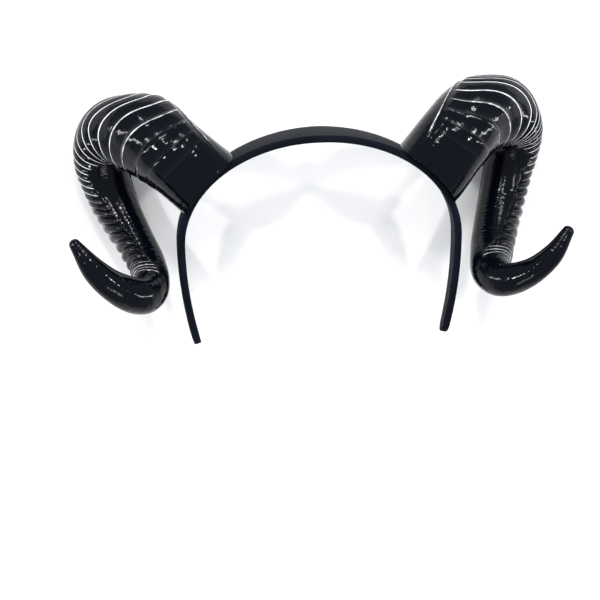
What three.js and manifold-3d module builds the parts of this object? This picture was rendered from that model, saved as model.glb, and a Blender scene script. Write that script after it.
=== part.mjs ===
// Devil horns headband: a cloth-covered hoop for the head that carries two curled, ringed horns.
// Millimetres. As worn, X runs to the wearer's left, Y to the back and Z up from the top of the crown.
// The whole headband is then leaned back onto the floor at Z = 0, as it lies when it is put down.
import * as THREE from 'three';
import { mergeVertices } from 'three/addons/utils/BufferGeometryUtils.js';
import Module from 'manifold-3d';

const wasm = await Module();
wasm.setup();

// The hoop: half an ellipse over the head, with an arm below it on each side.
const HOOP_HALF_SPAN = 83.5;
const CROWN_RISE = 64;
const ARM_LENGTH = 62;
const ARM_TUCK = 8;
const CROWN_STEPS = 32;
const ARM_STEPS = 6;

// The band along the hoop: a cloth-covered strip that narrows to rounded ends.
const BAND_THICKNESS = 4.2;
const BAND_CHAMFER = 1.2;
const CROWN_HALF_WIDTH = 14;
const END_HALF_WIDTH = 5.5;
const END_ROUND = 5;
const BLUNT_END = 0.4;

// The horns: a smooth root, rings up to the curl, and a smooth tip.
const SECTION_SIDES = 20;
const SECTION_SQUARENESS = 2.3;
const SECTION_REACH = 20;
const SEAT_GAP = 0.3;
const SEAT_DEPTH = 60;
const SMOOTH_STEP = 6;
const ROOT_LENGTH = 46;
const RING_COUNT = 22;
const FIRST_RING = 8.2;
const LAST_RING = 6.2;
const RING_HEIGHT = 1.3;
const RISING_RINGS = 6;
const STEPS_PER_RING = 4;
const RINGED_ANGLE = THREE.MathUtils.degToRad(99);
const TIP_POINT = 2;

// The wearer's left horn, from inside the hoop to the tip: the middle of each section, and its half
// sizes across the curl (wide) and outwards (thick).
const HORN_SECTIONS = [
  { out: 56.5, back: 0, up: -36, wide: 22, thick: 22.5 },
  { out: 65.5, back: 0, up: -27, wide: 22, thick: 23 },
  { out: 81, back: 5, up: -12, wide: 22.5, thick: 24 },
  { out: 97, back: 19, up: -3, wide: 22.5, thick: 24.5 },
  { out: 112.5, back: 34, up: -2.5, wide: 21, thick: 22.5 },
  { out: 124.5, back: 42, up: -9.5, wide: 19, thick: 18.5 },
  { out: 127.5, back: 44, up: -23, wide: 17.5, thick: 15.8 },
  { out: 123.5, back: 41, up: -39, wide: 16, thick: 14.3 },
  { out: 117, back: 33.5, up: -54, wide: 15, thick: 13.5 },
  { out: 109.5, back: 22, up: -68, wide: 14.3, thick: 13 },
  { out: 103.5, back: 7, up: -79.5, wide: 13.3, thick: 12.3 },
  { out: 101, back: -9, up: -86.5, wide: 12, thick: 11.4 },
  { out: 107.5, back: -22.5, up: -88, wide: 10.8, thick: 10.2 },
  { out: 120.5, back: -29, up: -80.5, wide: 9.3, thick: 8.8 },
  { out: 133, back: -30.5, up: -68.5, wide: 6.8, thick: 6.6 },
  { out: 144, back: -28, up: -52.5, wide: 2.4, thick: 2.4 },
];

const ACROSS = new THREE.Vector3(1, 0, 0);
const TO_BACK = new THREE.Vector3(0, 1, 0);

const clothCover = new THREE.MeshStandardMaterial({ color: 0x2b303c, roughness: 0.8, metalness: 0 });
const blackGloss = new THREE.MeshStandardMaterial({ color: 0x0d1016, roughness: 0.15, metalness: 0 });

// A list of count values, each worked out from its place in the list.
function series(count, value) {
  return Array.from({ length: count }, (_, place) => value(place));
}

// A closed skin over rings of points, drawn to a point at each end.
function loft(rings, startPoint, endPoint) {
  const sides = rings[0].length;
  const points = [...rings.flat(), startPoint, endPoint];
  const start = points.length - 2;
  const end = points.length - 1;
  const lastRing = (rings.length - 1) * sides;
  const index = [];
  for (let side = 0; side < sides; side++) {
    const next = (side + 1) % sides;
    index.push(start, next, side);
    for (let here = 0; here < lastRing; here += sides) {
      const there = here + sides;
      index.push(here + side, here + next, there + next);
      index.push(here + side, there + next, there + side);
    }
    index.push(lastRing + side, lastRing + next, end);
  }
  const geometry = new THREE.BufferGeometry().setFromPoints(points);
  geometry.setIndex(index);
  return geometry;
}

function toSolid(geometry) {
  const bare = geometry.clone();
  bare.deleteAttribute('normal');
  bare.deleteAttribute('uv');
  const merged = mergeVertices(bare);
  const vertProperties = Float32Array.from(merged.attributes.position.array);
  const triVerts = Uint32Array.from(merged.index.array);
  return new wasm.Manifold(new wasm.Mesh({ numProp: 3, vertProperties, triVerts }));
}

function toGeometry(solid) {
  const { vertProperties, triVerts } = solid.getMesh();
  const geometry = new THREE.BufferGeometry();
  geometry.setAttribute('position', new THREE.BufferAttribute(vertProperties, 3));
  geometry.setIndex(new THREE.BufferAttribute(triVerts, 1));
  return geometry;
}

// The hoop's outer line over the head, from the right side to the left, held clear by an allowance.
function crownLine(clear) {
  return series(CROWN_STEPS + 1, (step) => {
    const angle = Math.PI * (step / CROWN_STEPS - 0.5);
    const across = (HOOP_HALF_SPAN + clear) * Math.sin(angle);
    return new THREE.Vector3(across, 0, (CROWN_RISE + clear) * Math.cos(angle) - CROWN_RISE);
  });
}

// The hoop's whole outer line: each arm draws in towards its end along a parabola.
function hoopLine() {
  const arm = (side) => series(ARM_STEPS, (step) => {
    const along = (step + 1) / ARM_STEPS;
    const across = HOOP_HALF_SPAN - ARM_TUCK * along ** 2;
    return new THREE.Vector3(side * across, 0, -CROWN_RISE - ARM_LENGTH * along);
  });
  const points = [...arm(-1).reverse(), ...crownLine(0), ...arm(1)];
  return new THREE.CatmullRomCurve3(points, false, 'catmullrom');
}

// Half the band's width at a distance from its nearer end: an even taper, rounded off at the end.
function bandHalfWidth(toEnd, halfLength) {
  const taper = THREE.MathUtils.lerp(END_HALF_WIDTH, CROWN_HALF_WIDTH, toEnd / halfLength);
  const intoRound = 1 - Math.min(toEnd / END_ROUND, 1);
  return taper * Math.sqrt(1 - (1 - BLUNT_END ** 2) * intoRound ** 2);
}

// The band: a strip with chamfered edges, its outer face on the hoop's line.
function bandGeometry() {
  const line = hoopLine();
  const length = line.getLength();
  const bodySteps = CROWN_STEPS + 2 * ARM_STEPS;
  const round = [0, 0.15, 0.5].map((part) => part * END_ROUND);
  const body = series(bodySteps + 1, (step) => {
    return END_ROUND + (length - 2 * END_ROUND) * step / bodySteps;
  });
  const stations = [...round, ...body, ...round.map((toEnd) => length - toEnd).reverse()];
  const deep = BAND_THICKNESS;
  const cut = BAND_CHAMFER;
  const rings = stations.map((along) => {
    const outer = line.getPointAt(along / length);
    const inwards = new THREE.Vector3().crossVectors(TO_BACK, line.getTangentAt(along / length));
    const half = bandHalfWidth(Math.min(along, length - along), length / 2);
    const corners = [
      [half, cut], [half - cut, 0], [cut - half, 0], [-half, cut],
      [-half, deep - cut], [cut - half, deep], [half - cut, deep], [half, deep - cut],
    ];
    return corners.map(([back, depth]) => {
      return outer.clone().addScaledVector(TO_BACK, back).addScaledVector(inwards, depth);
    });
  });
  const middle = (ring) => new THREE.Box3().setFromPoints(ring).getCenter(new THREE.Vector3());
  return loft(rings, middle(rings[0]), middle(rings.at(-1)));
}

// Distances along a horn at which it has a section, and how far the rings stand out there. Each ring is
// a rounded lobe between two creases. The rings rise over the first few and end in a low one.
function hornStations(length) {
  const stations = [];
  for (let along = 0; along < ROOT_LENGTH; along += SMOOTH_STEP) {
    stations.push({ along, lift: 0 });
  }
  let along = ROOT_LENGTH;
  for (let ring = 0; ring < RING_COUNT; ring++) {
    const pitch = THREE.MathUtils.lerp(FIRST_RING, LAST_RING, ring / (RING_COUNT - 1));
    const rise = Math.min((ring + 1) / RISING_RINGS, (RING_COUNT - ring) / 2, 1);
    for (let step = 0; step < STEPS_PER_RING; step++) {
      const part = step / STEPS_PER_RING;
      stations.push({ along: along + pitch * part, lift: RING_HEIGHT * rise * (1 - (2 * part - 1) ** 2) });
    }
    along += pitch;
  }
  const tipSteps = Math.round((length - along) / SMOOTH_STEP);
  for (let step = 0; step <= tipSteps; step++) {
    stations.push({ along: along + (length - along) * step / tipSteps, lift: 0 });
  }
  return stations;
}

// The wearer's left horn as a skin over its sections, its root still running into the hoop. A section is
// a squared ellipse, square to a chord of the path so that the sections fan out round the tight bends.
// The rings stand out round the outer side only, so the side towards the head is smooth.
function hornSkin() {
  const path = new THREE.CatmullRomCurve3(
    HORN_SECTIONS.map(({ out, back, up }) => new THREE.Vector3(out, back, up)), false, 'catmullrom');
  const sizes = new THREE.CatmullRomCurve3(
    HORN_SECTIONS.map(({ wide, thick }) => new THREE.Vector3(wide, thick, 0)), false, 'catmullrom');
  path.arcLengthDivisions = 1000;
  const length = path.getLength();
  const pointAt = (along) => path.getPointAt(THREE.MathUtils.clamp(along / length, 0, 1));
  const rings = hornStations(length).map(({ along, lift }) => {
    const middle = pointAt(along);
    const half = sizes.getPoint(path.getUtoTmapping(along / length));
    const onwards = pointAt(along + SECTION_REACH).sub(pointAt(along - SECTION_REACH)).normalize();
    const outwards = ACROSS.clone().addScaledVector(onwards, -onwards.x).normalize();
    const curlwards = new THREE.Vector3().crossVectors(onwards, outwards);
    return series(SECTION_SIDES, (side) => {
      const angle = 2 * Math.PI * side / SECTION_SIDES;
      const fromOutside = Math.min(angle, 2 * Math.PI - angle);
      const stand = fromOutside < RINGED_ANGLE ? lift : 0;
      const [cos, sin] = [Math.cos(angle), Math.sin(angle)];
      const fill = (Math.abs(cos) ** SECTION_SQUARENESS + Math.abs(sin) ** SECTION_SQUARENESS)
        ** (-1 / SECTION_SQUARENESS);
      return middle.clone()
        .addScaledVector(outwards, cos * (half.y * fill + stand))
        .addScaledVector(curlwards, sin * (half.x * fill + stand));
    });
  });
  const tip = path.getPoint(1).addScaledVector(path.getTangent(1), TIP_POINT);
  return loft(rings, path.getPoint(0), tip);
}

// The space under the hoop's outer line, which the root of each horn is cut to.
function seatGeometry() {
  const outline = new THREE.Shape(crownLine(SEAT_GAP).map(({ x, z }) => new THREE.Vector2(x, z)));
  const seat = new THREE.ExtrudeGeometry(outline, { depth: SEAT_DEPTH, bevelEnabled: false });
  return seat.rotateX(Math.PI / 2).translate(0, SEAT_DEPTH / 2, 0);
}

// The wearer's left horn, its root cut to sit on the band.
function hornGeometry() {
  return toGeometry(toSolid(hornSkin()).subtract(toSolid(seatGeometry())));
}

// The same piece for the other side of the head.
function mirrored(geometry) {
  const other = geometry.clone().scale(-1, 1, 1);
  other.index.array.reverse();
  return other;
}

// Where the weight of the pieces acts: the middle of their volume, summed over wedges from the origin.
function weightCentre(pieces) {
  const centre = new THREE.Vector3();
  const face = new THREE.Triangle();
  let volume = 0;
  for (const { attributes, index } of pieces) {
    for (let corner = 0; corner < index.count; corner += 3) {
      const corners = [0, 1, 2].map((step) => index.getX(corner + step));
      face.setFromAttributeAndIndices(attributes.position, ...corners);
      const wedge = face.a.dot(face.b.clone().cross(face.c)) / 6;
      centre.addScaledVector(face.getMidpoint(new THREE.Vector3()), wedge * 3 / 4);
      volume += wedge;
    }
  }
  return centre.divideScalar(volume);
}

// How far back the pieces lean when they lie still. They rock back on the horns until the points that
// touch the floor are on both sides of the weight.
function restingLean(pieces) {
  const weight = weightCentre(pieces);
  const points = pieces.flatMap(({ attributes: { position } }) => {
    return series(position.count, (place) => new THREE.Vector3().fromBufferAttribute(position, place));
  });
  let [tipsBack, tipsForward] = [0, Math.PI / 2];
  for (let halving = 0; halving < 40; halving++) {
    const lean = (tipsBack + tipsForward) / 2;
    const height = ({ y, z }) => z * Math.cos(lean) - y * Math.sin(lean);
    const distance = ({ y, z }) => y * Math.cos(lean) + z * Math.sin(lean);
    const touching = points.reduce((low, point) => (height(point) < height(low) ? point : low));
    if (distance(touching) < distance(weight)) {
      tipsBack = lean;
    } else {
      tipsForward = lean;
    }
  }
  return tipsBack;
}

function part(name, geometry, material) {
  geometry.computeVertexNormals();
  const mesh = new THREE.Mesh(geometry, material);
  mesh.name = name;
  return mesh;
}

const bandShape = bandGeometry();
const leftShape = hornGeometry();
const rightShape = mirrored(leftShape);

const headband = new THREE.Group();
headband.add(part('band', bandShape, clothCover));
headband.add(part('horn_left', leftShape, blackGloss));
headband.add(part('horn_right', rightShape, blackGloss.clone()));

headband.rotation.x = -restingLean([bandShape, leftShape, rightShape]);
const box = new THREE.Box3().setFromObject(headband, true);
headband.position.set(0, -(box.min.y + box.max.y) / 2, -box.min.z);

export default headband;
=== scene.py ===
import math

import bpy
import numpy as np
from mathutils import Matrix


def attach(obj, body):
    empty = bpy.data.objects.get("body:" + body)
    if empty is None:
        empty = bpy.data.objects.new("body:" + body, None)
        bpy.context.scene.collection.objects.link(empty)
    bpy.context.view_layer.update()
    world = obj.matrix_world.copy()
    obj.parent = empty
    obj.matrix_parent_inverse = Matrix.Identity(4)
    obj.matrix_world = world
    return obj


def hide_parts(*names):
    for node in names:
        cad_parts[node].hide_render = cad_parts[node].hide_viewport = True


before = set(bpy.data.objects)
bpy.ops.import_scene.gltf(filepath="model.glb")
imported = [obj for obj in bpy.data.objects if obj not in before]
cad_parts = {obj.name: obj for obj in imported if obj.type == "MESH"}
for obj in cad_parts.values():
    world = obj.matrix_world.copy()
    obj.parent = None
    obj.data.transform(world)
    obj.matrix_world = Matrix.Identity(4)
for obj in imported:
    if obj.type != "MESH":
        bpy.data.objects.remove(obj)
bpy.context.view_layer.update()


# The band: a springy plastic hoop wrapped in dark slate satin, widest at the crown and narrowing to
# round ends. It is made as it is worn, in millimetres from the top of the crown, and then lies leaned
# back with the horns that are glued to it.
LEAN_BACK = math.radians(71.4414)
CROWN_AT = np.array([0.0, 44.8264, 68.5873])
METRES = 0.001
BACKWARDS = np.array([0.0, 1.0, 0.0])

HALF_SPAN = 83.5
CROWN_RISE = 64.0
ARM_LENGTH = 62.0
ARM_TUCK = 8.0
BAND_THICKNESS = 4.2
CROWN_HALF_WIDTH = 14.0
END_HALF_WIDTH = 5.5
END_ROUND = 5.0
BLUNT_END = 0.4
EDGE_RADIUS = 1.7
PADDING = 0.5

ARM_POINTS = 300
CROWN_POINTS = 1200
TANGENT_REACH = 0.5
BAND_ROWS = 420
CORNER_STEPS = 7
FACE_STEPS = 24

SATIN_DARK = (0.0013, 0.0020, 0.0042, 1.0)
SATIN_PALE = (0.0042, 0.0060, 0.0115, 1.0)
SATIN_SHEEN = (0.48, 0.58, 0.8, 1.0)
THREAD_SLANT = math.radians(32)
THREAD_SCALE = 620.0
THREAD_SHARE = 0.35
PUCKER_SCALE = (260.0, 40.0, 1.0)


def laid(worn):
    """As worn (left, back, up) to as it lies: turned back by LEAN_BACK about the line across the crown,
    then shifted so that the horns are on the floor, in metres."""
    cos, sin = math.cos(LEAN_BACK), math.sin(LEAN_BACK)
    turn = np.array([[1.0, 0.0, 0.0], [0.0, cos, sin], [0.0, -sin, cos]])
    return (worn @ turn.T + CROWN_AT) * METRES


def unit(vectors):
    """Each vector divided by its own length."""
    return vectors / np.linalg.norm(vectors, axis=-1, keepdims=True)


def distances(line):
    """How far along a line of points each of them lies: the sum of the steps before it."""
    return np.concatenate([[0], np.cumsum(np.linalg.norm(np.diff(line, axis=0), axis=1))])


def on_line(at, along, line):
    """The columns of a line at some distances along it, in straight steps between its own points."""
    return np.stack([np.interp(at, along, column) for column in line.T], -1)


def closed_mesh(name, rows, first, last, uv):
    """A closed mesh over a grid of rows that each run once round the piece. Four neighbours on the grid
    make a face, and the first and last rows are drawn together to a point. uv has one column more than
    the rows, for the seam."""
    count, sides = rows.shape[:2]
    points = np.concatenate([rows.reshape(-1, 3), [first], [last]])
    row, column = np.meshgrid(np.arange(count - 1), np.arange(sides), indexing="ij")
    here, there = row * sides, (row + 1) * sides
    onward = (column + 1) % sides
    quads = np.stack([here + column, here + onward, there + onward, there + column], -1).reshape(-1, 4)
    side = np.arange(sides)
    turned = (side + 1) % sides
    end = (count - 1) * sides
    start_fan = np.stack([np.full(sides, len(points) - 2), turned, side], -1)
    end_fan = np.stack([end + side, end + turned, np.full(sides, len(points) - 1)], -1)
    mesh = bpy.data.meshes.new(name)
    mesh.from_pydata(laid(points).tolist(), [], quads.tolist() + start_fan.tolist() + end_fan.tolist())

    next_row, next_column = row + 1, column + 1
    quad_uv = np.stack([uv[row, column], uv[row, next_column],
                        uv[next_row, next_column], uv[next_row, column]], 2)
    start_uv = np.stack([uv[0, side], uv[0, side + 1], uv[0, side]], 1)
    end_uv = np.stack([uv[-1, side], uv[-1, side + 1], uv[-1, side]], 1)
    corners = np.concatenate([quad_uv.reshape(-1, 2), start_uv.reshape(-1, 2), end_uv.reshape(-1, 2)])
    mesh.uv_layers.new(name="surface").data.foreach_set("uv", corners.astype(np.float32).ravel())
    mesh.polygons.foreach_set("use_smooth", np.ones(len(mesh.polygons), bool))
    mesh.update()
    return mesh


def place_piece(name, mesh, material, node):
    """Adds a finished piece, which moves with the headband and stands for its solid."""
    piece = bpy.data.objects.new(name, mesh)
    bpy.context.collection.objects.link(piece)
    mesh.materials.append(material)
    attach(piece, "root")
    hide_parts(node)


def hoop_line():
    """The hoop's outer line and the distance along it, from the right end to the left: a parabola up
    each arm, and half an ellipse over the crown."""
    drop = np.linspace(1, 0, ARM_POINTS, endpoint=False)
    turn = np.linspace(-math.pi / 2, math.pi / 2, CROWN_POINTS)
    right = np.stack([ARM_TUCK * drop**2 - HALF_SPAN, 0 * drop, -CROWN_RISE - ARM_LENGTH * drop], 1)
    crown = np.stack([HALF_SPAN * np.sin(turn), 0 * turn, CROWN_RISE * (np.cos(turn) - 1)], 1)
    line = np.concatenate([right, crown, right[::-1] * [-1, 1, 1]])
    return line, distances(line)


def band_outline():
    """Once round the strip's section from its back edge over the outer face: each point's share of the
    flat half width, its cosine and sine on the corner arcs, and whether it is on the inside."""
    arc = np.linspace(0, math.pi / 2, CORNER_STEPS)
    flat = np.linspace(1, -1, FACE_STEPS + 2)[1:-1]
    turn = [arc, np.full(FACE_STEPS, math.pi / 2), arc + math.pi / 2,
            arc + math.pi, np.full(FACE_STEPS, 1.5 * math.pi), arc + 1.5 * math.pi]
    share = [0 * arc + 1, flat, 0 * arc - 1, 0 * arc - 1, -flat, 0 * arc + 1]
    inside = [0 * arc, 0 * flat, 0 * arc, 0 * arc + 1, 0 * flat + 1, 0 * arc + 1]
    turn = np.concatenate(turn)
    flat_cos = np.where(np.isclose(np.abs(np.sin(turn)), 1), 0, np.cos(turn))
    return np.concatenate(share), flat_cos, np.sin(turn), np.concatenate(inside)


def band_rows():
    """Sections along the hoop, closer together at its ends. Each is a flat strip with round edges whose
    outer face swells a little over its padding, and which narrows along an ellipse at the ends."""
    line, along = hoop_line()
    length = along[-1]
    at = length * (0.5 - 0.5 * np.cos(np.linspace(0, math.pi, BAND_ROWS)))
    middle = on_line(at, along, line)
    onwards = unit(on_line(at + TANGENT_REACH, along, line) - on_line(at - TANGENT_REACH, along, line))
    inwards = np.cross(BACKWARDS, onwards)
    to_end = np.minimum(at, length - at)
    into_round = 1 - np.minimum(to_end / END_ROUND, 1)
    half = np.interp(to_end / (length / 2), [0, 1], [END_HALF_WIDTH, CROWN_HALF_WIDTH])
    half = (half * np.sqrt(1 - (1 - BLUNT_END**2) * into_round**2))[:, None]
    share, cos, sin, inside = band_outline()
    back = share * (half - EDGE_RADIUS) + EDGE_RADIUS * cos
    centre = np.where(inside > 0, BAND_THICKNESS - EDGE_RADIUS, EDGE_RADIUS)
    swell = PADDING * np.clip(1 - (back / half) ** 2, 0, 1) * (1 - inside) * (1 - into_round[:, None])
    depth = centre - EDGE_RADIUS * sin - swell
    rows = middle[:, None] + back[..., None] * BACKWARDS + depth[..., None] * inwards[:, None]
    crown = rows[BAND_ROWS // 2]
    around = distances(np.concatenate([crown, crown[:1]]))
    uv = np.stack(np.broadcast_arrays(at[:, None], around[None]), -1) * METRES
    return rows, uv


def new_material(name):
    """A material with its tree of nodes and the shader in it."""
    material = bpy.data.materials.new(name)
    material.use_nodes = True
    return material, material.node_tree, material.node_tree.nodes["Principled BSDF"]


def set_sockets(tree, node, sockets):
    """Sets a node's sockets by name or number. An output of another node feeds its socket, and a number
    or colour is held there."""
    for socket, value in sockets.items():
        if isinstance(value, bpy.types.NodeSocket):
            tree.links.new(value, node.inputs[socket])
        else:
            node.inputs[socket].default_value = value


def shader_node(tree, kind, sockets, **choices):
    """A new node of one kind, with its choices made first and then its sockets set."""
    node = tree.nodes.new(kind)
    for name, choice in choices.items():
        setattr(node, name, choice)
    set_sockets(tree, node, sockets)
    return node


def noise(tree, vector, scale, detail, roughness=0.5):
    """Cloudy noise over a vector, from 0 to 1."""
    sockets = {"Vector": vector, "Scale": scale, "Detail": detail, "Roughness": roughness}
    return shader_node(tree, "ShaderNodeTexNoise", sockets).outputs["Fac"]


def multiply_add(tree, value, factor, added):
    """A value times a factor, plus another value."""
    sockets = {0: value, 1: factor, 2: added}
    return shader_node(tree, "ShaderNodeMath", sockets, operation="MULTIPLY_ADD").outputs["Value"]


def colour_between(tree, share, *stops):
    """A colour that runs from one stop, a share and a colour, to the other as the share grows."""
    node = shader_node(tree, "ShaderNodeValToRGB", {"Fac": share})
    for element, (position, colour) in zip(node.color_ramp.elements, stops):
        element.position, element.color = position, colour
    return node.outputs["Color"]


def relief(tree, height, strength, distance, finer=None):
    """A bumpy normal from a height, added to a finer relief where one is given."""
    sockets = {"Height": height, "Strength": strength, "Distance": distance}
    if finer is not None:
        sockets["Normal"] = finer
    return shader_node(tree, "ShaderNodeBump", sockets).outputs["Normal"]


def satin_cover():
    """Dark slate satin: fine slanted floats of thread over a slow change of shade, a soft sheen, and
    faint puckers where the cloth is pulled round the hoop."""
    material, tree, cloth = new_material("satin_cover")
    surface = shader_node(tree, "ShaderNodeUVMap", {}, uv_map="surface").outputs["UV"]
    slanted = shader_node(tree, "ShaderNodeMapping",
                          {"Vector": surface, "Rotation": (0.0, 0.0, THREAD_SLANT)}).outputs["Vector"]
    thread = shader_node(tree, "ShaderNodeTexWave",
                         {"Vector": slanted, "Scale": THREAD_SCALE, "Distortion": 1.2,
                          "Detail": 2.0, "Detail Scale": 2.5}).outputs["Fac"]
    shade = multiply_add(tree, thread, THREAD_SHARE, noise(tree, surface, scale=45.0, detail=5.0))
    pulled = shader_node(tree, "ShaderNodeMapping",
                         {"Vector": surface, "Scale": PUCKER_SCALE}).outputs["Vector"]
    pucker = noise(tree, pulled, scale=1.0, detail=2.0)
    gleam = shader_node(tree, "ShaderNodeMapRange",
                        {"Value": thread, "To Min": 0.62, "To Max": 0.46}).outputs["Result"]
    weave = relief(tree, thread, strength=0.35, distance=0.00012)
    set_sockets(tree, cloth, {
        "Base Color": colour_between(tree, shade, (0.35, SATIN_DARK), (0.9, SATIN_PALE)),
        "Roughness": gleam,
        "Normal": relief(tree, pucker, strength=0.4, distance=0.0006, finer=weave),
        "Specular IOR Level": 0.035,
        "Sheen Weight": 0.006,
        "Sheen Roughness": 0.4,
        "Sheen Tint": SATIN_SHEEN,
    })
    return material


rows, surface_uv = band_rows()
band_mesh = closed_mesh("band_cover", rows, rows[0].mean(0), rows[-1].mean(0), surface_uv)
place_piece("band_cover", band_mesh, satin_cover(), "band")


# The horns: light mouldings in glossy black plastic, glued to the band by their roots. Each leaves the
# band smooth and round, bends back and down in rings, and turns out again to a smooth tip. The rings
# stop at an edge along the inner side, which is smooth, and a pale line is painted along their brows,
# a painted highlight in place of the gloss's reflections.

# Each horn's sections: out, back and up from the crown, half size towards the curl, half size outwards.
LEFT_SECTIONS = np.array([
    (56.5, 0.0, -36.0, 22.0, 22.5),
    (65.5, 0.0, -27.0, 22.0, 23.0),
    (80.2, 4.5, -10.1, 21.8, 22.5),
    (95.6, 18.0, 0.4, 21.7, 22.0),
    (111.0, 32.3, -1.0, 21.0, 21.2),
    (122.0, 40.6, -10.3, 19.6, 17.6),
    (123.2, 43.5, -24.0, 17.4, 15.4),
    (119.2, 41.0, -39.0, 16.0, 14.3),
    (114.5, 33.5, -54.0, 15.0, 13.6),
    (108.8, 22.0, -68.0, 14.3, 13.0),
    (103.5, 7.0, -79.5, 13.3, 12.3),
    (101.0, -9.0, -86.5, 12.0, 11.4),
    (107.5, -22.5, -88.6, 10.0, 9.6),
    (120.8, -29.0, -82.6, 7.8, 7.6),
    (133.6, -30.5, -71.8, 6.2, 6.1),
    (143.0, -28.5, -58.5, 3.4, 3.4),
])
RIGHT_SECTIONS = np.array([
    (56.5, 0.0, -36.0, 22.0, 22.5),
    (66.0, -0.3, -27.3, 22.0, 22.3),
    (82.7, 3.9, -13.0, 22.0, 21.6),
    (98.2, 17.2, -2.8, 22.9, 22.4),
    (112.0, 32.7, -4.0, 20.8, 21.0),
    (122.2, 41.3, -11.5, 18.8, 17.6),
    (125.2, 43.5, -24.0, 17.4, 15.4),
    (121.5, 41.0, -39.0, 16.0, 14.0),
    (115.0, 33.5, -54.0, 15.0, 12.5),
    (107.0, 22.0, -68.0, 14.0, 10.8),
    (100.5, 7.0, -79.5, 13.0, 10.2),
    (100.0, -9.0, -86.5, 11.8, 10.6),
    (107.5, -22.5, -88.0, 10.8, 10.2),
    (120.5, -29.0, -80.5, 9.3, 8.8),
    (133.0, -30.5, -68.5, 7.3, 7.1),
    (143.5, -28.0, -53.0, 3.2, 3.2),
])
SIDEWAYS = np.array([1.0, 0.0, 0.0])
SECTION_SQUARENESS = 2.3
SECTION_REACH = 20.0
SEAT_GAP = 0.3
ROOT_SEARCH = 29.2
TIP_POINT = 2.9

# Where the rings' brows lie along each horn. They are closest together in the bend.
LEFT_BROWS = np.array([
    34.3, 40.3, 45.4, 50.2, 55.6, 59.2, 62.6, 66.5, 70.8, 75.6, 81.0, 87.0, 93.3, 99.8,
    106.5, 113.5, 120.8, 128.5, 136.5, 144.8, 153.3, 161.8, 170.0, 177.8, 185.0, 191.6, 197.6])
RIGHT_BROWS = np.array([
    33.5, 40.0, 46.7, 53.3, 60.0, 66.0, 71.3, 76.4, 81.3, 86.1, 90.8, 95.5, 100.4, 105.6,
    111.2, 117.2, 123.7, 130.7, 138.2, 146.0, 154.2, 162.4, 170.4, 178.0, 185.1, 191.6, 197.6])

# How the rings lean: distance along the horn, lean towards the tip over the outer side, the angles in
# degrees that it grows between, and the further lean on the side towards the curl.
LEFT_LEAN = np.array([
    (18.0, 0.0, -120.0, 25.0, 0.0),
    (34.0, 5.0, -120.0, 25.0, 0.0),
    (40.3, 13.0, -120.0, 25.0, 0.0),
    (50.2, 26.0, -120.0, 25.0, 0.0),
    (59.2, 31.0, -120.0, 20.0, 0.0),
    (66.5, 30.0, -110.0, 15.0, 1.0),
    (75.6, 26.0, -100.0, 10.0, 2.0),
    (87.0, 20.0, -85.0, 5.0, 5.0),
    (100.0, 16.0, -85.0, 5.0, 8.0),
    (130.0, 11.0, -85.0, 5.0, 9.0),
    (175.0, 5.0, -85.0, 5.0, 9.0),
    (205.0, 0.0, -85.0, 5.0, 0.0),
])
RIGHT_LEAN = np.array([
    (18.0, 0.0, -115.0, 25.0, 0.0),
    (40.0, 6.0, -115.0, 25.0, 0.0),
    (46.7, 10.8, -115.0, 25.0, 0.0),
    (53.3, 14.5, -105.0, 20.0, 0.0),
    (60.0, 17.3, -95.0, 15.0, 0.0),
    (66.0, 18.7, -85.0, 10.0, 0.0),
    (76.0, 18.5, -85.0, 5.0, 2.5),
    (86.0, 17.0, -85.0, 5.0, 4.5),
    (95.0, 16.0, -85.0, 5.0, 7.0),
    (110.0, 15.0, -85.0, 5.0, 9.0),
    (130.0, 12.0, -85.0, 5.0, 9.0),
    (175.0, 6.0, -85.0, 5.0, 9.0),
    (205.0, 0.0, -85.0, 5.0, 0.0),
])
CURL_LEAN_BETWEEN = np.radians((0.0, 75.0))
RING_WOBBLE = 0.5
WOBBLE_LENGTH = 11.0
WOBBLE_FADE = 20.0

# The rings' own shape. A pair of distances is where a change along the horn begins and ends.
RING_HEIGHT = 1.3
FIRST_RING_SHARE = 0.35
RING_SHARE_STEP = 0.15
LAST_LOW_RINGS = 2
UNEVENNESS = 0.08
UNEVEN_STEP = 2.4
UNEVEN_SWAY = 0.8
UNEVEN_SWAY_STEP = 1.3
CREASE_BEHIND = 0.2
CREASE_POWER = 3
CUP_POWER = 1.7
BEAD_POWER = 2.5
BEAD_CUT = 0.7
BEADS_BETWEEN = (98.0, 123.0)
LEFT_BACK_EDGE = math.radians(-122)
RIGHT_BACK_EDGE = math.radians(-134)
FRONT_EDGE_AT = (76.0, 92.0, 162.0, 198.0)
FRONT_EDGE = np.radians((99.0, 60.0, 70.0, 125.0))
EDGE_FADE = math.radians(9)

# Pale lines painted into the colour along the brows, painted highlights in place of the gloss's
# reflections: their half width, their share on the first ring and the step for each further ring, and
# how much fainter and then clearer they grow between distances along the horn.
BROW_HALF_WIDTH = 0.35
FIRST_BROW_SHARE = 0.3
BROW_SHARE_STEP = 0.17
FAINTER_BROWS = 0.6
FAINTER_BETWEEN = (100.0, 125.0)
CLEARER_BROWS = 0.3
CLEARER_BETWEEN = (165.0, 185.0)

SEAM_BEHIND = math.radians(5)
SEAM_RADIUS = 20.0
SEAM_HEIGHT = 0.45
SEAM_HALF_WIDTH = 0.55
SEAM_BEGINS = (18.0, 30.0)
SEAM_ENDS = (190.0, 160.0)
# The seam also carries a painted highlight, a pale line in the colour that fades out along the horn.
SEAM_PAINTED_HIGHLIGHT = 0.66
SEAM_PAINTED_HIGHLIGHT_ENDS = (90.0, 70.0)

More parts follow.
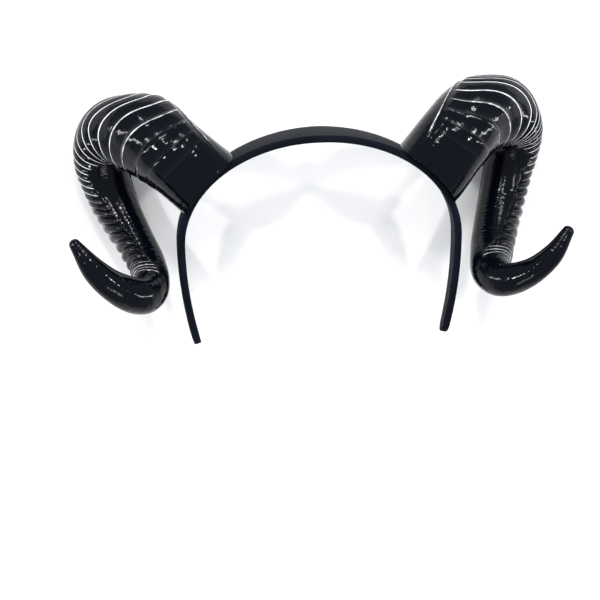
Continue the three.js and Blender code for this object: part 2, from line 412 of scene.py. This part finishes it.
PATH_POINTS = 8001
ROOT_SEARCH_STEPS = 600
HORN_SIDES = 150
SEAM_SIDES = 17
SEAM_SPREAD = math.radians(4)
UNDERSIDE_ROWS = np.array([0.2, 0.4, 0.6, 0.8, 0.93, 0.985])
ROOT_ROWS = 26
ROOT_GATHER = 1.4
RING_ROWS = np.array([0, 0.02, 0.06, 0.15, 0.28, 0.42, 0.56, 0.67,
                      0.735, 0.775, 0.81, 0.845, 0.88, 0.915, 0.95, 0.98])
TIP_ROWS = 56
TIP_BEGIN = math.radians(12)
TIP_TURNS = np.radians([22, 36, 50, 62, 72, 81])

GLOSS_BLACK = (0.0010, 0.0016, 0.0036, 1.0)
CREASE_DUST = (0.008, 0.009, 0.012, 1.0)
# The pale colour of the painted highlights along the brows and the seam, and how deep noise cuts into
# them to break the line.
PAINTED_HIGHLIGHT_PALE = (0.85, 0.86, 0.88, 1.0)
HIGHLIGHT_BREAK_DEPTH = -0.8
DUST_DULLS = 0.25
RIPPLE_SCALE = (120.0, 120.0, 480.0)


def horn_path(sections):
    """The horn's middle line and half sizes, against the distance along it: a cubic curve through the
    sections, whose slope at each one is half the step between its neighbours. With them come each
    point's outward and curlward directions, square to the chord between the points a reach before and
    after it."""
    place = np.linspace(0, len(sections) - 1, PATH_POINTS)[:-1]
    step = np.floor(place).astype(int)
    part = (place - step)[:, None]
    before, after = 2 * sections[0] - sections[1], 2 * sections[-1] - sections[-2]
    rows = np.concatenate([[before], sections, [after]])
    p0, p1, p2, p3 = (rows[step + shift] for shift in range(4))
    curve = 0.5 * (2 * p1 + (p2 - p0) * part + (2 * p0 - 5 * p1 + 4 * p2 - p3) * part**2
                   + (3 * p1 - p0 - 3 * p2 + p3) * part**3)
    curve = np.concatenate([curve, sections[-1:]])
    middle = curve[:, :3]
    along = distances(middle)
    ahead = on_line(along + SECTION_REACH, along, middle)
    behind = on_line(along - SECTION_REACH, along, middle)
    onwards = unit(ahead - behind)
    outwards = unit(SIDEWAYS - onwards[:, :1] * onwards)
    curlwards = np.cross(onwards, outwards)
    return along, np.concatenate([curve, outwards, curlwards], 1)


def ramp(value, start, stop):
    """From 0 at start to 1 at stop with level ends: 3 v^2 - 2 v^3, where v is the share of the way."""
    share = np.clip((value - start) / (stop - start), 0, 1)
    return share * share * (3 - 2 * share)


def ring_creases(brows):
    """Where the creases lie along the horn: one before the first ring, and one behind each brow by a
    share of the way to the next."""
    gap = np.diff(brows)
    between = brows[:-1] + CREASE_BEHIND * gap
    return np.concatenate([[between[0] - gap[0]], between, [brows[-1] + CREASE_BEHIND * gap[-1]]])


def ring_heights(count):
    """Each ring's share of the full height: it grows evenly over the first rings, falls over the last
    ones, and varies a little by a sine whose phase sways."""
    number = np.arange(count)
    growth = np.minimum(FIRST_RING_SHARE + RING_SHARE_STEP * number, (count - number) / LAST_LOW_RINGS)
    sway = UNEVEN_STEP * number + UNEVEN_SWAY * np.sin(UNEVEN_SWAY_STEP * number)
    return np.minimum(growth, 1) * (1 - UNEVENNESS + UNEVENNESS * np.sin(sway))


def ring_lift(along, angle, brows, back_edge):
    """How far the skin stands out. On the first half each ring swells from its crease, 1 - (1 - p)^n, to
    a brow and drops behind it, 1 - q^2, like stacked cups. On the second half it is a bead,
    1 - |2 p - 1|^m, with deeper creases. The rings cover the side between a back edge and a front edge
    that wanders along the horn, and a fine moulding seam, exp(-d^2), runs outside the back edge. Also
    gives how deep in a crease the point lies, and how strongly a pale painted highlight lies there along
    the brows and the seam, each from 0 to 1."""
    creases = ring_creases(brows)
    ring = np.clip(np.searchsorted(creases, along, side="right") - 1, 0, len(brows) - 1)
    first, top, last = creases[ring], brows[ring], creases[ring + 1]
    swell = 1 - (1 - np.clip((along - first) / (top - first), 0, 1)) ** CUP_POWER
    cup = swell - np.clip((along - top) / (last - top), 0, 1) ** 2
    bead = 1 - np.abs(2 * np.clip((along - first) / (last - first), 0, 1) - 1) ** BEAD_POWER
    beaded = ramp(along, *BEADS_BETWEEN)
    lobe = cup + beaded * (bead - cup)
    front_edge = np.interp(along, FRONT_EDGE_AT, FRONT_EDGE)
    ringed = (along > creases[0]) & (along < creases[-1])
    ringed = ringed * ramp(angle, back_edge, back_edge + EDGE_FADE)
    ringed = ringed * ramp(angle, front_edge, front_edge - EDGE_FADE)
    lift = RING_HEIGHT * lobe - BEAD_CUT * beaded * (1 - lobe)
    lift = ring_heights(len(brows))[ring] * lift * ringed

    seam = np.exp(-((angle - back_edge + SEAM_BEHIND) * SEAM_RADIUS / SEAM_HALF_WIDTH) ** 2)
    seam = seam * ramp(along, *SEAM_BEGINS) * ramp(along, *SEAM_ENDS)
    crease = ringed * (1 - lobe) ** CREASE_POWER
    # The painted highlight: a pale line along each brow, stronger on later rings, fainter along the
    # middle of the horn and clearer again towards the curl, and a pale line along the seam.
    worn = np.minimum(FIRST_BROW_SHARE + BROW_SHARE_STEP * ring, 1)
    worn = worn * (1 - FAINTER_BROWS * ramp(along, *FAINTER_BETWEEN)
                   + CLEARER_BROWS * ramp(along, *CLEARER_BETWEEN))
    brow = ringed * np.exp(-((along - top) / BROW_HALF_WIDTH) ** 2) * worn
    brow = np.maximum(brow, SEAM_PAINTED_HIGHLIGHT * seam * ramp(along, *SEAM_PAINTED_HIGHLIGHT_ENDS))
    return lift + SEAM_HEIGHT * seam, np.stack([crease, brow], -1)


def horn_skin(table, along, angle, brows, lean, back_edge):
    """A point on the horn at a distance along it and an angle from its outer side: the middle line plus
    a squared ellipse, |cos|^n + |sin|^n = 1, in the outward and curlward directions, plus the rings. The
    rings waver a little along the horn, and they lean towards its tip in two smooth steps, one on the
    outer side and one on the side towards the curl."""
    creases = ring_creases(brows)
    wavy = ramp(along, creases[0], creases[0] + WOBBLE_FADE)
    wavy = wavy * ramp(along, creases[-1], creases[-1] - WOBBLE_FADE)
    outer, start, stop, curl = (np.interp(along, lean[:, 0], column) for column in lean.T[1:])
    leant = outer * ramp(angle, np.radians(start), np.radians(stop))
    leant = leant + curl * ramp(angle, *CURL_LEAN_BETWEEN)
    wavered = along + leant + RING_WOBBLE * wavy * np.sin(2 * angle + along / WOBBLE_LENGTH)
    at = on_line(wavered, *table)
    middle, wide, thick = at[..., :3], at[..., 3], at[..., 4]
    outwards, curlwards = at[..., 5:8], at[..., 8:11]
    cos, sin = np.cos(angle), np.sin(angle)
    fill = np.abs(cos) ** SECTION_SQUARENESS + np.abs(sin) ** SECTION_SQUARENESS
    fill = fill ** (-1 / SECTION_SQUARENESS)
    lift, marks = ring_lift(along, angle, brows, back_edge)
    across = (cos * (thick * fill + lift))[..., None] * outwards
    return middle + across + (sin * (wide * fill + lift))[..., None] * curlwards, marks


def seat_reach(points):
    """How far points are from the middle of the seat's ellipse, the hoop's with a gap for the glue, as a
    share of the ellipse's own size in that direction."""
    span, rise = HALF_SPAN + SEAT_GAP, CROWN_RISE + SEAT_GAP
    return np.hypot(points[..., 0] / span, (points[..., 2] + CROWN_RISE) / rise)


def on_seat(points):
    """Moves points to the seat along the line from the middle of its ellipse."""
    middle = np.array([0.0, 0.0, -CROWN_RISE])
    flat = 1 - BACKWARDS
    return points + flat * (points - middle) * (1 / seat_reach(points)[..., None] - 1)


def root_start(table, angle, *ringing):
    """How far along the horn each line of its skin leaves the seat: the last step that is still inside,
    and the part of the next step in proportion to the reach past the seat at both its ends."""
    along = np.linspace(0, ROOT_SEARCH, ROOT_SEARCH_STEPS)
    points, _ = horn_skin(table, *np.meshgrid(along, angle, indexing="ij"), *ringing)
    outside = seat_reach(points) - 1
    last = len(along) - 1 - np.argmax(outside[::-1] < 0, axis=0)
    column = np.arange(len(angle))
    low, high = outside[last, column], outside[last + 1, column]
    return along[last] + along[1] * low / (low - high)


def horn_rows(sections, brows, lean, back_edge):
    """A horn's rows, as on the left: the root's underside from its middle to its rim, the root, the
    rings with rows gathered at the brows and creases, the tip, and the rounding of its point by part of
    an ellipse. Also gives the crease and brow marks, each point's place on a straightened horn, the
    middle of the underside and the very point of the tip."""
    table = horn_path(sections)
    length = table[0][-1]
    near_seam = back_edge - SEAM_BEHIND + np.linspace(-SEAM_SPREAD, SEAM_SPREAD, SEAM_SIDES)
    angle = np.concatenate([(np.arange(HORN_SIDES) / HORN_SIDES * 2 - 1) * math.pi, near_seam])
    angle = np.sort(angle)
    creases = ring_creases(brows)
    start = root_start(table, angle, brows, lean, back_edge)
    gathered = np.linspace(0, 1, ROOT_ROWS, endpoint=False)[:, None] ** ROOT_GATHER
    root = start + (creases[0] - start) * gathered
    rings = (creases[:-1, None] + np.diff(creases)[:, None] * RING_ROWS).reshape(-1, 1)
    tip = np.linspace(creases[-1], length, TIP_ROWS)[:, None]
    level = np.concatenate([rings, tip])
    along = np.concatenate([root, np.broadcast_to(level, (len(level), len(angle)))])
    skin, marks = horn_skin(table, along, np.broadcast_to(angle, along.shape), brows, lean, back_edge)

    rim = skin[0]
    middle = on_seat(rim.mean(0))
    underside = on_seat(middle + (rim - middle) * UNDERSIDE_ROWS[:, None, None])

    end = sections[-1, :3]
    onwards = unit(end - sections[-2, :3])
    turn = TIP_TURNS[:, None, None]
    point = (end + TIP_POINT * (np.sin(turn) - math.sin(TIP_BEGIN)) * onwards
             + np.cos(turn) / math.cos(TIP_BEGIN) * (skin[-1] - end))
    rows = np.concatenate([underside, skin, point])
    marks = np.concatenate([0 * underside[..., :2], marks, 0 * point[..., :2]])
    distance = np.concatenate([np.repeat(along[:1], len(underside), 0), along,
                               np.repeat(along[-1:], len(point), 0)])
    radius = np.interp(distance, table[0], table[1][:, 3:5].mean(1))
    straight = np.stack([radius * np.cos(angle), radius * np.sin(angle), distance], -1)
    return rows, marks, straight, middle, end + TIP_POINT * (1 - math.sin(TIP_BEGIN)) * onwards


def black_gloss():
    """Glossy black moulded plastic: a slight bloom of grey dust in the creases, a painted highlight
    along the brows and the seam, a pale colour broken into a line by noise, a faint orange-peel skin,
    and shallow ripples from the mould, long round the horn and short along it, that break up the
    highlights."""
    material, tree, plastic = new_material("black_gloss")
    place = shader_node(tree, "ShaderNodeTexCoord", {}).outputs["Object"]
    crease, brow, straight = (
        shader_node(tree, "ShaderNodeAttribute", {}, attribute_name=name).outputs[output]
        for name, output in (("crease", "Fac"), ("brow", "Fac"), ("straightened", "Vector")))

    cloud = noise(tree, place, scale=70.0, detail=4.0)
    bloom = shader_node(tree, "ShaderNodeMath", {0: crease, 1: cloud},
                        operation="MULTIPLY").outputs["Value"]
    dusty = colour_between(tree, bloom, (0.0, GLOSS_BLACK), (1.0, CREASE_DUST))
    # The painted highlight: the pale colour is mixed into the black along the brows and the seam, broken
    # up by noise.
    highlight_break_noise = noise(tree, place, scale=190.0, detail=5.0, roughness=0.62)
    broken_highlight_mask = multiply_add(tree, highlight_break_noise, HIGHLIGHT_BREAK_DEPTH, brow)
    painted_highlight_share = shader_node(tree, "ShaderNodeMapRange",
                       {"Value": broken_highlight_mask, "From Min": 0.02, "From Max": 0.42}).outputs["Result"]
    worn = shader_node(tree, "ShaderNodeMix", {"Factor": painted_highlight_share, "A": dusty, "B": PAINTED_HIGHLIGHT_PALE},
                       data_type="RGBA").outputs["Result"]
    dull = shader_node(tree, "ShaderNodeMapRange",
                       {"Value": cloud, "From Min": 0.3, "From Max": 0.75,
                        "To Min": 0.05, "To Max": 0.12}).outputs["Result"]
    drawn = shader_node(tree, "ShaderNodeMapping",
                        {"Vector": straight, "Scale": RIPPLE_SCALE}).outputs["Vector"]
    ripple = noise(tree, drawn, scale=1.0, detail=2.0, roughness=0.45)
    peel = relief(tree, noise(tree, place, scale=420.0, detail=2.0), strength=0.5, distance=0.00016)
    set_sockets(tree, plastic, {
        "Base Color": worn,
        "Roughness": multiply_add(tree, bloom, DUST_DULLS, dull),
        "Normal": relief(tree, ripple, strength=0.75, distance=0.0004, finer=peel),
        "IOR": 1.24,
    })
    return material


gloss = black_gloss()
for node, side, *shape in (
        ("horn_left", 1, LEFT_SECTIONS, LEFT_BROWS, LEFT_LEAN, LEFT_BACK_EDGE),
        ("horn_right", -1, RIGHT_SECTIONS, RIGHT_BROWS, RIGHT_LEAN, RIGHT_BACK_EDGE)):
    rows, marks, straight, root_middle, tip_point = horn_rows(*shape)
    mirror = np.array([side, 1.0, 1.0])
    around = np.linspace(0, 1, rows.shape[1] + 1)
    horn_uv = np.stack(np.broadcast_arrays(straight[:, :1, 2] * METRES, around[None]), -1)
    horn_mesh = closed_mesh(node + "_moulding", (rows * mirror)[:, ::side], root_middle * mirror,
                            tip_point * mirror, horn_uv)
    for name, mark in zip(("crease", "brow"), np.moveaxis(marks[:, ::side], -1, 0)):
        values = np.concatenate([mark.ravel(), [0, 0]]).astype(np.float32)
        horn_mesh.attributes.new(name, "FLOAT", "POINT").data.foreach_set("value", values)
    straight = np.concatenate([straight[:, ::side].reshape(-1, 3), straight[[0, -1], 0]]) * METRES
    straightened = horn_mesh.attributes.new("straightened", "FLOAT_VECTOR", "POINT")
    straightened.data.foreach_set("vector", straight.astype(np.float32).ravel())
    place_piece(node + "_moulding", horn_mesh, gloss, node)


# The studio: a pale paper floor under an even pale sky. On each side there are a small softbox, a low
# strip, and two small lights over the back, which make the specks on the gloss, and one wider light
# stands in front.
LIGHTS_AIM = np.array([0.0, 0.0, 0.05])
SKY_COLOUR = (0.88, 0.93, 1.0, 1.0)
SKY_STRENGTH = 0.65
FLOOR_HALF = 3.0
PAPER_COLOUR = (0.83, 0.825, 0.82, 1.0)
PAPER_ROUGHNESS = 0.9

# Name, place out to the side, back and up, size across and back, watts.
PAIRED_LIGHTS = (
    ("softbox", 0.95, 0.2, 1.4, 0.12, 0.12, 9.0),
    ("side_strip", 1.3, -0.05, 0.5, 0.8, 0.05, 7.0),
    ("back_light", 0.55, 1.25, 1.15, 0.12, 0.12, 4.0),
    ("top_light", 0.2, 0.75, 1.35, 0.12, 0.12, 4.5),
)
FRONT_LIGHT = ("front_light", 0.0, -1.3, 1.2, 0.5, 0.3, 5.0)


def facing(at, away, across):
    """The place and turn of a light or camera, from where it is, the direction away from what it faces
    and the direction to its right. Its top is square to both."""
    columns = across, np.cross(away, across), away
    return Matrix([[*column, 0.0] for column in columns] + [[*at, 1.0]]).transposed()


def area_light(name, out, back, up, wide, long, watts):
    """A rectangular light that faces the headband, wide across and long towards the back."""
    lamp = bpy.data.lights.new(name, "AREA")
    lamp.shape = "RECTANGLE"
    lamp.size, lamp.size_y = wide, long
    lamp.energy = watts
    light = bpy.data.objects.new(name, lamp)
    bpy.context.collection.objects.link(light)
    at = np.array([out, back, up])
    away = unit(at - LIGHTS_AIM)
    light.matrix_world = facing(at, away, unit(np.cross(BACKWARDS, away)))


for side in (-1, 1):
    for name, out, *rest in PAIRED_LIGHTS:
        area_light(name, side * out, *rest)
area_light(*FRONT_LIGHT)

world = bpy.data.worlds.new("studio")
world.use_nodes = True
set_sockets(world.node_tree, world.node_tree.nodes["Background"],
            {"Color": SKY_COLOUR, "Strength": SKY_STRENGTH})
bpy.context.scene.world = world
bpy.context.scene.view_settings.view_transform = "Standard"

floor_corners = [(x * FLOOR_HALF, y * FLOOR_HALF, 0) for x, y in ((-1, -1), (1, -1), (1, 1), (-1, 1))]
floor_mesh = bpy.data.meshes.new("floor")
floor_mesh.from_pydata(floor_corners, [], [(0, 1, 2, 3)])
floor = bpy.data.objects.new("floor", floor_mesh)
bpy.context.collection.objects.link(floor)
paper, paper_tree, paper_shader = new_material("pale_paper")
set_sockets(paper_tree, paper_shader, {"Base Color": PAPER_COLOUR, "Roughness": PAPER_ROUGHNESS})
floor_mesh.materials.append(paper)


# The camera: in front of the headband as worn, a little to its right and above it, level with the crown
# to within a degree. The middle of the frame lies under the crown.
CAMERA_TURN = math.radians(-6)
CAMERA_RISE = math.radians(13)
CAMERA_ROLL = math.radians(1)
CAMERA_DISTANCE = 1300.0
FRAME_WIDTH = 348.8
FRAME_LEFT_OF_CROWN = 10.2
FRAME_BELOW_CROWN = 98.3
SENSOR_WIDTH = 36.0

back = np.array([math.sin(CAMERA_TURN) * math.cos(CAMERA_RISE),
                 -math.cos(CAMERA_TURN) * math.cos(CAMERA_RISE), math.sin(CAMERA_RISE)])
level = np.array([math.cos(CAMERA_TURN), math.sin(CAMERA_TURN), 0.0])
upright = np.cross(back, level)
right = level * math.cos(CAMERA_ROLL) - upright * math.sin(CAMERA_ROLL)
up = upright * math.cos(CAMERA_ROLL) + level * math.sin(CAMERA_ROLL)
worn_eye = CAMERA_DISTANCE * back
worn_aim = -FRAME_LEFT_OF_CROWN * right - FRAME_BELOW_CROWN * up
eye, aim, eye_right = laid(worn_eye), laid(worn_aim), laid(worn_eye + right)
away = unit(eye - aim)
across = eye_right - eye
across = unit(across - away * (across @ away))
lens = bpy.data.cameras.new("camera")
lens.sensor_width = SENSOR_WIDTH
lens.lens = SENSOR_WIDTH * CAMERA_DISTANCE / FRAME_WIDTH
camera = bpy.data.objects.new("camera", lens)
bpy.context.collection.objects.link(camera)
camera.matrix_world = facing(eye, away, across)
bpy.context.scene.camera = camera
